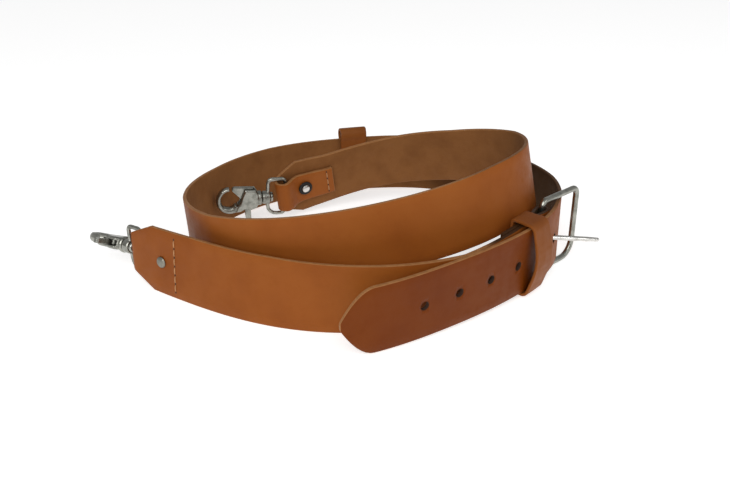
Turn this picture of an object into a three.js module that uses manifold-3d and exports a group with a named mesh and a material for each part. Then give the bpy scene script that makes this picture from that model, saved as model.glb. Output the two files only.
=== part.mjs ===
// A leather radio strap, coiled and standing on its edge. Millimetres, +Z up.
//
// The short strap runs along the front, from a snap at its left end to the buckle. The long strap starts
// with the billet, whose pointed tip lies in front. It passes through the keeper and the buckle, goes once
// round the back, climbs over the buckle and ends inside the coil, at the second snap.
import * as THREE from 'three';
import { mergeVertices } from 'three/addons/utils/BufferGeometryUtils.js';
import Module from 'manifold-3d';

const wasm = await Module();
wasm.setup();

// ---------------------------------------------------------------- driving dimensions
const GAP = 0.3;                    // left between pieces that touch
const SEAT = 0.45;                  // left under a flat head on curved leather
const WIDTH = 44.5;                 // strap width
const MID = WIDTH / 2;
const LEATHER = 2.7;                // strap thickness
const STATION = 6.5;                // spacing of the stations along a strap

const TIP = { length: 20, blunt: 2, fullness: 1.9 };
const HOLES = { first: 52, pitch: 25.4, count: 8, radius: 2.9, prong: 5, prongRadius: 3.2 };

// A strap end folded round the eye of a snap.
const SNAP_FOLD = { bore: 3.5, halfTongue: 11.6, shoulder: 23, tab: 51, settle: 17 };
const FRONT_TAB = { half: 20, widens: 24 };
const RIVET_FROM_FOLD = 32;
const SCREW_FROM_FOLD = 26.5;
// The strap end folded round the buckle's heel bar, with a slot for the prong.
const HEEL_FOLD = { bore: 2.4, halfWidth: 20.3, taper: 16, tab: 52, settle: 22, slotReach: 9, slotHalf: 3.4 };

const KEEPER = {
  along: 145.5, length: 18, thickness: 2, depth: 13, front: 1.3, bulge: 5, gap: 0.45, rise: 1, drop: 1.2,
  steps: 9,
};
const CORD_KEEPER = {
  along: 440, length: 22, thickness: 2.2, gap: 0.4, rise: 8.5, halfGap: 3.4, leg: 24, screw: 9,
};

const BUCKLE = {
  wire: 2.1, length: 39.5, low: 2.1, high: 51.9, heelCorner: 3.4, lowCorner: 11, highCorner: 5, swing: -9,
};
const PRONG = { ring: 3.8, ringWire: 1.3, wire: 1.65, length: 39, tip: 1.2 };

const RIVET = { post: 1.7, head: 3.9, rise: 1.7 };
const SCREW = { post: 2.2, head: 3.2, rise: 1.3, washer: 5.5, washerRise: 0.9, back: 4.4 };
const KEEPER_SCREW = { post: 1.4, head: 2.6, rise: 1.2 };

// A snap: x along its axis from the middle of the eye's bar, z along the bar, y across.
const EYE = {
  wire: 1.45, halfBar: 14.6, length: 13.2, corner: 3, lowCorner: 7,
  hubFrom: 11.7, hubTo: 17.9, hub: 5, bore: 2.5,
};
const HOOK = {
  head: 3.7, headFrom: 9.2, stem: 2.2, collarFrom: 18.2, collar: 5.6, neck: 4.6, neckTo: 24,
  thick: 8.6, slotFrom: 21.8, slotTo: 36, slot: 4,
};
// The ring of the hook, from its nose by way of its tip to its root. Half sizes of its section follow.
const RING = {
  x: 42.4, z: 0, halfLength: 8.1, halfHeight: 8.9, nose: 90, root: -140,
  noseOut: 1.5, noseAcross: 2.6, rootOut: 3.3, rootAcross: 3.8,
};
const TRIGGER = { x: 28.9, z: -3, pin: 1.5, hole: 1.8, thick: 3.4, hub: 3.8 };

// How each snap lies: the bar's place in the loose fold, the swing about it, its tilt and the swivel's roll.
const FRONT_SNAP = { back: 0.8, lift: -0.6, swing: -2, tilt: -5, roll: 112 };
const INNER_SNAP = { back: 0.7, lift: -0.6, swing: -23, tilt: 9.5, roll: 0 };

// ---------------------------------------------------------------- the two straps' paths
// A path is the lower outer edge of its strap. Each row says how fast the strap turns left (degrees per
// 100 mm), how fast it climbs (mm per 100 mm) and how far its top leans inwards (degrees).
const LONG_STRAP = {
  start: [-13.5, -162, 0], heading: 14.5, length: 1206,
  rows: [
    { along: 0, turn: 45, climb: 4, lean: -6 },
    { along: 70, turn: 11, climb: 3, lean: -4 },
    { along: 140, turn: 26, climb: 1.5, lean: -3 },
    { along: 190, turn: 63, climb: 0, lean: 1 },
    { along: 240, turn: 51, climb: -2.5, lean: -1 },
    { along: 300, turn: 39, climb: -2.5, lean: 0 },
    { along: 370, turn: 63, climb: -1.5, lean: -10 },
    { along: 450, turn: 26, climb: 0.5, lean: -5 },
    { along: 510, turn: 45, climb: -0.5, lean: -8 },
    { along: 570, turn: 46, climb: 2.5, lean: -3 },
    { along: 630, turn: 60, climb: 9.5, lean: -3 },
    { along: 700, turn: 62, climb: 13.5, lean: -5 },
    { along: 770, turn: 46, climb: 15, lean: 2 },
    { along: 835, turn: 24, climb: 12.5, lean: 6 },
    { along: 895, turn: 46, climb: 11.5, lean: 13 },
    { along: 940, turn: 88, climb: -3, lean: 12 },
    { along: 985, turn: 80, climb: -12, lean: 10 },
    { along: 1045, turn: 42, climb: -16, lean: 18 },
    { along: 1110, turn: 73, climb: -16, lean: 19 },
    { along: 1160, turn: 2, climb: -21, lean: 16 },
    { along: 1205, turn: 100, climb: -17, lean: 3 },
  ],
};
const SHORT_STRAP = {
  start: [-155.5, -64, 0], heading: -38.65, length: 320.3,
  rows: [
    { along: 0, turn: 9, climb: 0, lean: 1 },
    { along: 55, turn: 10, climb: 0, lean: 5 },
    { along: 115, turn: 36, climb: 0, lean: 5 },
    { along: 175, turn: 48, climb: 0, lean: -2 },
    { along: 235, turn: 33, climb: 6, lean: -11 },
    { along: 285, turn: 25, climb: 3.5, lean: -4 },
    { along: 315, turn: 23, climb: 0, lean: 0 },
  ],
};

const radians = THREE.MathUtils.degToRad;
const { clamp, lerp, smoothstep } = THREE.MathUtils;

function rowValue(rows, along, column) {
  const last = rows.length - 1;
  if (along <= rows[0].along) return rows[0][column];
  if (along >= rows[last].along) return rows[last][column];
  const next = rows.findIndex((row) => row.along > along);
  const [a, b] = [rows[next - 1], rows[next]];
  return lerp(a[column], b[column], (along - a.along) / (b.along - a.along));
}

class StrapPath {
  constructor({ start, heading, rows, length }) {
    this.length = length;
    this.stations = [];
    const point = new THREE.Vector3(...start);
    let bearing = radians(heading);
    const overrun = 40;
    for (let along = 0; along <= length + overrun; along += 1) {
      const slope = rowValue(rows, along, 'climb') / 100;
      const flat = Math.sqrt(1 - slope * slope);
      const ahead = new THREE.Vector3(Math.cos(bearing) * flat, Math.sin(bearing) * flat, slope);
      const left = new THREE.Vector3(-Math.sin(bearing), Math.cos(bearing), 0);
      const upright = new THREE.Vector3().crossVectors(ahead, left);
      const lean = radians(rowValue(rows, along, 'lean'));
      const up = upright.clone().multiplyScalar(Math.cos(lean)).addScaledVector(left, Math.sin(lean));
      const inward = left.multiplyScalar(Math.cos(lean)).addScaledVector(upright, -Math.sin(lean));
      this.stations.push({ point: point.clone(), ahead, inward, up });
      const middle = rowValue(rows, along + 0.5, 'turn');
      const nextBearing = bearing + radians(middle / 100);
      const halfway = (bearing + nextBearing) / 2;
      point.add(new THREE.Vector3(Math.cos(halfway) * flat, Math.sin(halfway) * flat, slope));
      bearing = nextBearing;
    }
  }

  frame(along) {
    const whole = Math.min(Math.max(Math.floor(along), 0), this.stations.length - 2);
    const [a, b] = [this.stations[whole], this.stations[whole + 1]];
    const blend = (key) => a[key].clone().lerp(b[key], along - whole);
    return { point: blend('point'), ahead: blend('ahead'), inward: blend('inward'), up: blend('up') };
  }

  // A point given by its distance along the strap, its depth behind the outer face and its height.
  place(along, depth, height) {
    const { point, inward, up } = this.frame(along);
    return point.addScaledVector(inward, depth).addScaledVector(up, height);
  }
}

const longPath = new StrapPath(LONG_STRAP);
const shortPath = new StrapPath(SHORT_STRAP);

// ---------------------------------------------------------------- closed solids
function signedVolume(geometry) {
  const { array: xyz } = geometry.getAttribute('position');
  const { array: index } = geometry.index;
  const corner = (k) => new THREE.Vector3().fromArray(xyz, 3 * index[k]);
  let volume = 0;
  for (let k = 0; k < index.length; k += 3) {
    volume += corner(k).dot(corner(k + 1).cross(corner(k + 2))) / 6;
  }
  return volume;
}

// Merges a geometry's shared vertices and turns its faces outwards.
function closed(geometry) {
  geometry.deleteAttribute('normal');
  geometry.deleteAttribute('uv');
  const merged = mergeVertices(geometry, 1e-3);
  const corners = [];
  const { array: index } = merged.index;
  for (let k = 0; k < index.length; k += 3) {
    const [a, b, c] = [index[k], index[k + 1], index[k + 2]];
    if (a !== b && b !== c && c !== a) corners.push(a, b, c);
  }
  merged.setIndex(corners);
  if (signedVolume(merged) < 0) merged.setIndex(corners.reverse());
  return merged;
}

function solid(geometry) {
  const body = closed(geometry);
  const vertProperties = new Float32Array(body.getAttribute('position').array);
  const triVerts = new Uint32Array(body.index.array);
  return new wasm.Manifold(new wasm.Mesh({ numProp: 3, vertProperties, triVerts }));
}

function geometryOf(manifold) {
  const { vertProperties, triVerts } = manifold.getMesh();
  const geometry = new THREE.BufferGeometry();
  geometry.setAttribute('position', new THREE.BufferAttribute(new Float32Array(vertProperties), 3));
  geometry.setIndex(Array.from(triVerts));
  return geometry;
}

function join(...geometries) {
  return geometries.map(solid).reduce((whole, piece) => whole.add(piece));
}

function cut(manifold, ...geometries) {
  return geometries.map(solid).reduce((rest, tool) => rest.subtract(tool), manifold);
}

// Bends a box into a strip. corner(station, across, face) places its vertices: across runs from 0 at one
// edge to 1 at the other, face is 0 on the grain side and 1 on the flesh side.
function strip(stations, corner, steps = 1) {
  const box = new THREE.BoxGeometry(1, 1, 1, stations.length - 1, steps, 1);
  const position = box.getAttribute('position');
  for (let k = 0; k < position.count; k += 1) {
    const station = stations[Math.round((position.getX(k) + 0.5) * (stations.length - 1))];
    const point = corner(station, position.getY(k) + 0.5, Math.round(position.getZ(k) + 0.5));
    position.setXYZ(k, point.x, point.y, point.z);
  }
  return box;
}

// Bends a torus into a closed loop. place(loop point, across, out) puts a corner of the section there.
function loop(points, section, place) {
  const torus = new THREE.TorusGeometry(2, 1, section.length, points.length);
  const position = torus.getAttribute('position');
  const perRow = points.length + 1;
  for (let k = 0; k < position.count; k += 1) {
    const [across, out] = section[Math.floor(k / perRow) % section.length];
    const point = place(points[(k % perRow) % points.length], across, out);
    position.setXYZ(k, point.x, point.y, point.z);
  }
  return torus;
}

function circleSection(radius, sides) {
  return Array.from({ length: sides }, (_, k) => {
    const angle = (2 * Math.PI * (k + 0.5)) / sides;
    return [radius * Math.cos(angle), radius * Math.sin(angle)];
  });
}

// Points of a rounded rectangle with their outward normals, anticlockwise from the lower right corner. The
// radii are those of the lower right, upper right, upper left and lower left corners.
function roundedRectangle({ left, right, low, high }, [a, b, c, d], perCorner) {
  const corners = [
    { x: right - a, y: low + a, from: -90, radius: a },
    { x: right - b, y: high - b, from: 0, radius: b },
    { x: left + c, y: high - c, from: 90, radius: c },
    { x: left + d, y: low + d, from: 180, radius: d },
  ];
  return corners.flatMap(({ x, y, from, radius }) => Array.from({ length: perCorner + 1 }, (_, k) => {
    const angle = radians(from + (90 * k) / perCorner);
    const [nx, ny] = [Math.cos(angle), Math.sin(angle)];
    return { x: x + radius * nx, y: y + radius * ny, nx, ny };
  }));
}

// A solid of revolution about the line from one point through another. Profile rows are [radius, distance].
function turned(profile, from, towards, sides) {
  const points = profile.map(([radius, distance]) => new THREE.Vector2(radius, distance));
  const axis = towards.clone().sub(from).normalize();
  const turn = new THREE.Quaternion().setFromUnitVectors(new THREE.Vector3(0, 1, 0), axis);
  const geometry = new THREE.LatheGeometry(points, sides);
  return geometry.applyQuaternion(turn).translate(from.x, from.y, from.z);
}

function rod(radius, from, towards, sides = 16) {
  const length = from.distanceTo(towards);
  return turned([[0, 0], [radius, 0], [radius, length], [0, length]], from, towards, sides);
}

// ---------------------------------------------------------------- leather
// A station of a strip gives the distance along the strap and the depth of its grain side there, and the
// half width. A strip runs on round a bar and comes back as a second ply.
function run(from, to, depthAt, halfAt) {
  const count = Math.max(2, Math.round(Math.abs(to - from) / STATION));
  return Array.from({ length: count + 1 }, (_, k) => {
    const along = lerp(from, to, k / count);
    return { along, depth: depthAt(along), half: halfAt(along) };
  });
}

// The half turn round a bar. The strip may still narrow in the first quarter.
function foldRun(barAlong, radius, direction, halfAt) {
  const steps = 10;
  return Array.from({ length: steps - 1 }, (_, k) => {
    const angle = (Math.PI * (k + 1)) / steps;
    const along = barAlong + direction * radius * Math.sin(angle);
    const reached = angle < Math.PI / 2 ? along : barAlong + direction * radius;
    return { along, depth: radius * (1 - Math.cos(angle)), half: halfAt(reached) };
  });
}

// The depth of the folded-back ply: beside the bar it stands off, further on it lies on the strap.
function tabDepth(barAlong, radius, settle) {
  const laid = 2 * LEATHER + GAP;
  return (along) => lerp(2 * radius, laid, smoothstep(Math.abs(along - barAlong), 0, settle));
}

// A leather strip of even thickness through stations that follow one another round its folds.
function leather(path, stations) {
  const last = stations.length - 1;
  stations.forEach((station, k) => {
    const [a, b] = [stations[Math.max(0, k - 1)], stations[Math.min(last, k + 1)]];
    const [onwards, deeper] = [b.along - a.along, b.depth - a.depth];
    const length = Math.hypot(onwards, deeper);
    station.flesh = [-deeper / length, onwards / length];
  });
  return strip(stations, ({ along, depth, flesh, half }, across, face) => {
    const reach = face * LEATHER;
    return path.place(along + reach * flesh[0], depth + reach * flesh[1], MID + (2 * across - 1) * half);
  });
}

const snapRadius = SNAP_FOLD.bore + LEATHER;
const heelRadius = HEEL_FOLD.bore + LEATHER;
const fullHalf = () => MID;
const tongueHalf = () => SNAP_FOLD.halfTongue;
const onFace = () => 0;

function tipHalf(along) {
  const rest = Math.max(0, 1 - along / TIP.length);
  return lerp(TIP.blunt, MID, 1 - rest ** TIP.fullness);
}

// The half width of a strap that narrows to the tongue that goes round a snap's eye.
function chamferHalf(fromFold) {
  return lerp(SNAP_FOLD.halfTongue, MID, clamp(fromFold / SNAP_FOLD.shoulder, 0, 1));
}

function tipStations() {
  return [0, 1, 2.5, 4.5, 7, 10, 13.5, 17].map((along) => ({ along, depth: 0, half: tipHalf(along) }));
}

function punch(path, along, height, radius, from, to) {
  return rod(radius, path.place(along, from, height), path.place(along, to, height), 14);
}

function longStrap() {
  const end = longPath.length;
  const bar = end - snapRadius;
  const shoulder = end - SNAP_FOLD.shoulder;
  const endHalf = (along) => chamferHalf(end - along);
  const stations = [
    ...tipStations(),
    ...run(TIP.length, shoulder, onFace, fullHalf),
    ...run(shoulder, bar, onFace, endHalf).slice(1),
    ...foldRun(bar, snapRadius, 1, endHalf),
    ...run(bar, end - SNAP_FOLD.tab, tabDepth(bar, snapRadius, SNAP_FOLD.settle), tongueHalf),
  ];
  const holes = Array.from({ length: HOLES.count }, (_, k) => {
    const radius = k === HOLES.prong ? HOLES.prongRadius : HOLES.radius;
    return punch(longPath, HOLES.first + k * HOLES.pitch, MID, radius, -2, LEATHER + 2);
  });
  const screwHole = punch(longPath, end - SCREW_FROM_FOLD, MID, SCREW.post + GAP, -2, 3 * LEATHER);
  const keeperHole = punch(
    longPath, CORD_KEEPER.along, WIDTH - CORD_KEEPER.screw, KEEPER_SCREW.post + GAP, -2, LEATHER + 2,
  );
  return cut(solid(leather(longPath, stations)), ...holes, screwHole, keeperHole);
}

function shortStrap() {
  const bar = snapRadius;
  const heel = shortPath.length;
  const heelHalf = (along) => (
    lerp(HEEL_FOLD.halfWidth, MID, smoothstep(heel - along, 2, HEEL_FOLD.taper))
  );
  const frontTabHalf = (along) => (
    lerp(SNAP_FOLD.halfTongue, FRONT_TAB.half, clamp((along - bar) / FRONT_TAB.widens, 0, 1))
  );
  const stations = [
    ...run(SNAP_FOLD.tab, bar, tabDepth(bar, snapRadius, SNAP_FOLD.settle), frontTabHalf),
    ...foldRun(bar, snapRadius, -1, chamferHalf).reverse(),
    ...run(bar, SNAP_FOLD.shoulder, onFace, chamferHalf),
    ...run(SNAP_FOLD.shoulder, heel, onFace, heelHalf).slice(1),
    ...foldRun(heel, heelRadius, 1, () => HEEL_FOLD.halfWidth),
    ...run(heel, heel - HEEL_FOLD.tab, tabDepth(heel, heelRadius, HEEL_FOLD.settle), heelHalf),
  ];
  const rivetHole = punch(shortPath, RIVET_FROM_FOLD, MID, RIVET.post + GAP, -2, 3 * LEATHER);
  const slotStations = [heel - HEEL_FOLD.slotReach, heel + heelRadius + 2].map((along) => ({ along }));
  const slot = strip(slotStations, ({ along }, across, face) => shortPath.place(
    along, lerp(-2, 2 * heelRadius + 2, face), MID + (2 * across - 1) * HEEL_FOLD.slotHalf,
  ));
  return cut(solid(leather(shortPath, stations)), rivetHole, slot);
}

// The closed loop round the billet and both plies of the short strap. It bulges on the outside.
function buckleKeeper() {
  const { along, length, thickness, depth, front, bulge, gap, rise, drop, steps } = KEEPER;
  const box = { left: -front, right: depth, low: -drop, high: WIDTH + rise };
  const outline = roundedRectangle(box, [gap, gap, 2 * front, 2 * front], 4);
  const points = outline.flatMap((point, k) => {
    const next = outline[(k + 1) % outline.length];
    const upright = Math.abs(next.y - point.y) > WIDTH / 2;
    return Array.from({ length: upright ? steps : 1 }, (_, m) => (
      { ...point, x: lerp(point.x, next.x, m / steps), y: lerp(point.y, next.y, m / steps) }
    ));
  });
  const reach = length / 2;
  const section = [[-reach, 0], [0, 0], [reach, 0], [reach, thickness], [0, thickness], [-reach, thickness]];
  return loop(points, section, ({ x, y, nx, ny }, across, out) => {
    const crown = Math.cos((Math.PI * (y - MID)) / (WIDTH + 2 * thickness)) ** 1.3;
    const swell = x < depth / 2 ? bulge * crown : 0;
    return longPath.place(along + across, x + nx * out - swell, y + ny * out);
  });
}

// A strip folded over the back band's upper edge, with room above the edge for a cord.
function cordKeeper() {
  const { along, length, thickness, gap, rise, halfGap, leg } = CORD_KEEPER;
  const centre = LEATHER / 2;
  const laid = centre + gap + thickness;
  const top = WIDTH + rise;
  const swell = halfGap + thickness;
  const side = [
    { out: laid, height: WIDTH - leg, nx: 1, ny: 0 },
    { out: laid, height: WIDTH - 12, nx: 1, ny: 0 },
    { out: laid, height: WIDTH - 5, nx: 1, ny: 0 },
    { out: laid + 0.3, height: WIDTH - 1.5, nx: 0.98, ny: -0.2 },
    { out: lerp(laid, swell, 0.8), height: WIDTH + 1.2, nx: 0.95, ny: -0.3 },
    { out: swell, height: WIDTH + 3.2, nx: 1, ny: 0 },
    { out: swell * 0.94, height: top - 3.2, nx: 0.9, ny: 0.43 },
    { out: swell * 0.7, height: top - 1.1, nx: 0.6, ny: 0.8 },
    { out: swell * 0.3, height: top - 0.1, nx: 0.2, ny: 0.98 },
  ];
  const inner = side.map(({ out, height, nx, ny }) => ({ depth: centre + out, height, nx, ny }));
  const outer = side.map(({ out, height, nx, ny }) => ({ depth: centre - out, height, nx: -nx, ny }));
  const place = ({ depth, height, nx, ny }, across, face) => longPath.place(
    along + (across - 0.5) * length, depth - face * thickness * nx, height - face * thickness * ny,
  );
  const body = strip([...inner, ...outer.reverse()], place, 4);
  const reach = laid + 3;
  const hole = punch(
    longPath, along, WIDTH - CORD_KEEPER.screw, KEEPER_SCREW.post + GAP, centre - reach, centre + reach,
  );
  return cut(solid(body), hole);
}

// ---------------------------------------------------------------- rivets and screws
// A post through a strap with a domed head on each side. Depths are those of the two outer leather faces.
function doubleHead(path, along, height, { post, head, rise }, outerDepth, innerDepth, backHead) {
  const from = path.place(along, outerDepth - SEAT - rise, height);
  const to = path.place(along, innerDepth + rise, height);
  const total = from.distanceTo(to);
  const profile = [
    [0, 0], [0.55 * backHead, 0.15 * rise], [0.85 * backHead, 0.5 * rise], [backHead, rise], [post, rise],
    [post, total - rise], [head, total - rise], [0.85 * head, total - 0.5 * rise],
    [0.55 * head, total - 0.15 * rise], [0, total],
  ];
  return turned(profile, from, to, 20);
}

const pliesDepth = 2 * LEATHER + GAP;

function frontRivet() {
  return doubleHead(shortPath, RIVET_FROM_FOLD, MID, RIVET, 0, pliesDepth + SEAT, RIVET.head);
}

const innerScrewAlong = longPath.length - SCREW_FROM_FOLD;
const WASHER_SEAT = 0.9;

function innerScrew() {
  const seat = pliesDepth + WASHER_SEAT + SCREW.washerRise + GAP;
  return doubleHead(longPath, innerScrewAlong, MID, SCREW, 0, seat, SCREW.back);
}

function innerWasher() {
  const from = longPath.place(innerScrewAlong, pliesDepth + WASHER_SEAT, MID);
  const to = longPath.place(innerScrewAlong, pliesDepth + WASHER_SEAT + SCREW.washerRise, MID);
  const bore = SCREW.post + GAP;
  const profile = [
    [bore, 0], [SCREW.washer, 0], [SCREW.washer, 0.6 * SCREW.washerRise],
    [0.92 * SCREW.washer, SCREW.washerRise], [bore, SCREW.washerRise], [bore, 0],
  ];
  return turned(profile, from, to, 24);
}

function cordKeeperScrew() {
  const laid = CORD_KEEPER.gap + CORD_KEEPER.thickness;
  const height = WIDTH - CORD_KEEPER.screw;
  return doubleHead(
    longPath, CORD_KEEPER.along, height, KEEPER_SCREW, -laid, LEATHER + laid + SEAT, KEEPER_SCREW.head,
  );
}

// ---------------------------------------------------------------- buckle
// The buckle's own frame: x from the heel bar to the outer bar, z along the heel bar.
const heelBar = shortPath.place(shortPath.length, heelRadius, MID);
const buckleBasis = (() => {
  const { ahead, inward, up } = shortPath.frame(shortPath.length);
  const swing = radians(BUCKLE.swing);
  const out = ahead.multiplyScalar(Math.cos(swing)).addScaledVector(inward, Math.sin(swing));
  return { ahead: out, up, side: new THREE.Vector3().crossVectors(up, out) };
})();

function inBuckle(x, y, z) {
  const { ahead, side, up } = buckleBasis;
  return heelBar.clone().addScaledVector(ahead, x).addScaledVector(side, y).addScaledVector(up, z);
}

function buckleFrame() {
  const { wire, length, low, high, heelCorner, lowCorner, highCorner } = BUCKLE;
  const box = { left: 0, right: length, low: low - heelBar.z, high: high - heelBar.z };
  const points = roundedRectangle(box, [lowCorner, highCorner, heelCorner, heelCorner], 6);
  return loop(points, circleSection(wire, 12), ({ x, y, nx, ny }, across, out) => (
    inBuckle(x + nx * out, across, y + ny * out)
  ));
}

function buckleProng() {
  const hole = longPath.place(HOLES.first + HOLES.prong * HOLES.pitch, LEATHER / 2, MID);
  const { up } = buckleBasis;
  const out = hole.clone().sub(heelBar);
  out.addScaledVector(up, -out.dot(up)).normalize();
  const ring = new THREE.TorusGeometry(PRONG.ring, PRONG.ringWire, 10, 20);
  const turn = new THREE.Quaternion().setFromUnitVectors(new THREE.Vector3(0, 0, 1), up);
  ring.applyQuaternion(turn).translate(heelBar.x, heelBar.y, heelBar.z);
  const { wire, length, tip } = PRONG;
  const from = heelBar.clone().addScaledVector(out, PRONG.ring);
  const reach = length - PRONG.ring;
  const profile = [
    [0, 0], [PRONG.ringWire, 0], [wire, 3], [wire, reach - 8], [tip + 0.2, reach - 1],
    [0.6 * tip, reach - 0.2], [0, reach],
  ];
  return join(ring, turned(profile, from, from.clone().add(out), 12));
}

// ---------------------------------------------------------------- snaps
const xAxis = new THREE.Vector3(1, 0, 0);
const origin = new THREE.Vector3();

function onAxis(profile, sides) {
  return turned(profile, origin, xAxis, sides);
}

// A plate outline in the plane of x and z, given as corners, with its thickness centred on y = 0.
function plate(corners, thickness, bevel) {
  const shape = new THREE.Shape(corners.map(([x, z]) => new THREE.Vector2(x, z)));
  const depth = thickness - 2 * bevel;
  const settings = {
    depth, bevelEnabled: bevel > 0, bevelSize: bevel, bevelThickness: bevel, bevelOffset: -bevel,
    bevelSegments: 1, curveSegments: 1,
  };
  return new THREE.ExtrudeGeometry(shape, settings).translate(0, 0, -depth / 2).rotateX(Math.PI / 2);
}

// A wire loop with a hub in its far side, which carries the swivel.
function snapEye() {
  const { wire, halfBar, length, corner, lowCorner, hubFrom, hubTo, hub, bore } = EYE;
  const box = { left: 0, right: length, low: -halfBar, high: halfBar };
  const points = roundedRectangle(box, [lowCorner, corner, corner, corner], 4);
  const frame = loop(points, circleSection(wire, 10), ({ x, y, nx, ny }, across, out) => (
    new THREE.Vector3(x + nx * out, across, y + ny * out)
  ));
  const boss = onAxis([
    [0, hubFrom], [hub - 0.8, hubFrom], [hub, hubFrom + 1],
    [hub, hubTo - 0.7], [hub - 0.8, hubTo], [0, hubTo],
  ], 20);
  const swivelBore = rod(bore, new THREE.Vector3(hubFrom - 4, 0, 0), new THREE.Vector3(hubTo + 1, 0, 0), 20);
  return geometryOf(cut(join(frame, boss), swivelBore));
}

// The ring's section grows from the nose to the root. It is a cylinder bent along the ring.
function hookRing() {
  const bent = new THREE.CylinderGeometry(1, 1, 1, 12, 18);
  const position = bent.getAttribute('position');
  for (let k = 0; k < position.count; k += 1) {
    const t = position.getY(k) + 0.5;
    const angle = radians(lerp(RING.nose, RING.root, t));
    const out = position.getX(k) * lerp(RING.noseOut, RING.rootOut, t ** 2);
    const across = position.getZ(k) * lerp(RING.noseAcross, RING.rootAcross, t ** 2);
    position.setXYZ(
      k,
      RING.x + (RING.halfLength + out) * Math.cos(angle),
      across,
      RING.z + (RING.halfHeight + out) * Math.sin(angle),
    );
  }
  return bent;
}

function snapHook() {
  const { head, headFrom, stem, collarFrom, collar, neck, neckTo } = HOOK;
  const seat = EYE.hubFrom - GAP;
  const spindle = onAxis([
    [0, headFrom], [head - 0.7, headFrom], [head, headFrom + 0.8], [head, seat], [stem, seat],
    [stem, collarFrom], [collar - 0.8, collarFrom], [collar, collarFrom + 0.8], [collar, collarFrom + 2.2],
    [neck, collarFrom + 3.2], [neck, neckTo], [0, neckTo],
  ], 20);
  const body = plate([
    [20.8, 4.4], [23, 8.2], [31, 8.8], [33.2, 3], [34.6, -2.4], [37.2, -5.4], [38, -9.6], [34.4, -9.4],
    [31, -7.6], [26.4, -8.6], [22.4, -7.2], [20.8, -4.4],
  ], HOOK.thick, 1);
  const { slotFrom, slotTo, slot } = HOOK;
  const slotBox = new THREE.BoxGeometry(slotTo - slotFrom, slot, 40);
  slotBox.translate((slotFrom + slotTo) / 2, 0, 0);
  const pinEnd = new THREE.Vector3(TRIGGER.x, HOOK.thick / 2 - 0.6, TRIGGER.z);
  const pin = rod(TRIGGER.pin, pinEnd, pinEnd.clone().setY(-pinEnd.y), 12);
  const forked = cut(join(body, spindle), slotBox);
  return geometryOf(forked.add(solid(hookRing())).add(solid(pin)));
}

// The gate that closes the ring, in one piece with the thumb lever below the pivot.
function snapTrigger() {
  const { x, z, hole, thick, hub } = TRIGGER;
  const gate = plate([
    [24.6, 3], [24.8, 9.2], [38.6, 10.2], [40.2, 9.4], [40.4, 7.8], [31.8, -1.4], [28.9, -4], [25.6, -2.4],
  ], thick, 0);
  const lever = plate([[26.6, -4], [25.8, -17], [26.6, -18.4], [29.2, -18.4], [30, -17], [31, -4]], thick, 0);
  const boss = rod(hub, new THREE.Vector3(x, -thick / 2, z), new THREE.Vector3(x, thick / 2, z), 20);
  const pivot = rod(hole, new THREE.Vector3(x, -4, z), new THREE.Vector3(x, 4, z), 16);
  return geometryOf(cut(join(gate, lever, boss), pivot));
}

// ---------------------------------------------------------------- materials and assembly
function grain() {
  return new THREE.MeshStandardMaterial({ color: 0x9a5228, roughness: 0.55, metalness: 0 });
}

function nickel() {
  return new THREE.MeshStandardMaterial({ color: 0xb9bbb4, roughness: 0.25, metalness: 1 });
}

function blackened() {
  return new THREE.MeshStandardMaterial({ color: 0x1c1a18, roughness: 0.5, metalness: 0.4 });
}

function mesh(name, geometry, material) {
  const piece = new THREE.Mesh(geometry, material);
  piece.name = name;
  return piece;
}

// A snap hung on the fold at one end of a strap: the eye, and the hook and trigger that turn on it.
function snap(prefix, path, foldAlong, direction, { back, lift, swing, tilt, roll }) {
  const barAlong = foldAlong - direction * (snapRadius + back);
  const { ahead, up } = path.frame(barAlong);
  const away = ahead.multiplyScalar(direction);
  const side = new THREE.Vector3().crossVectors(up, away).normalize();
  away.crossVectors(side, up).normalize();
  const group = new THREE.Group();
  group.quaternion.setFromRotationMatrix(new THREE.Matrix4().makeBasis(away, side, up));
  group.position.copy(path.place(barAlong, snapRadius, MID + lift));
  group.rotateZ(radians(swing));
  group.rotateY(radians(-tilt));
  const turning = new THREE.Group();
  turning.rotation.x = radians(roll);
  turning.add(mesh(`${prefix}_hook`, snapHook(), nickel()));
  turning.add(mesh(`${prefix}_trigger`, snapTrigger(), nickel()));
  group.add(mesh(`${prefix}_eye`, snapEye(), nickel()), turning);
  return group;
}

const strap = new THREE.Group();
strap.add(
  mesh('long_strap', geometryOf(longStrap()), grain()),
  mesh('short_strap', geometryOf(shortStrap()), grain()),
  mesh('buckle_keeper', closed(buckleKeeper()), grain()),
  mesh('cord_keeper', geometryOf(cordKeeper()), grain()),
  mesh('buckle_frame', closed(buckleFrame()), nickel()),
  mesh('buckle_prong', geometryOf(buckleProng()), nickel()),
  mesh('front_rivet', closed(frontRivet()), nickel()),
  mesh('inner_screw', closed(innerScrew()), nickel()),
  mesh('inner_screw_washer', closed(innerWasher()), blackened()),
  mesh('cord_keeper_screw', closed(cordKeeperScrew()), nickel()),
  snap('front', shortPath, 0, -1, FRONT_SNAP),
  snap('inner', longPath, longPath.length, 1, INNER_SNAP),
);

// The origin is the middle of the footprint, on the surface that the strap stands on.
const bounds = new THREE.Box3().setFromObject(strap, true);
const centre = bounds.getCenter(new THREE.Vector3());
strap.position.set(-centre.x, -centre.y, -bounds.min.z);
strap.updateMatrixWorld(true);

export default strap;
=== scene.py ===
import math

import bpy
import numpy as np
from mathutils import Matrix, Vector
from mathutils.bvhtree import BVHTree


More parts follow.
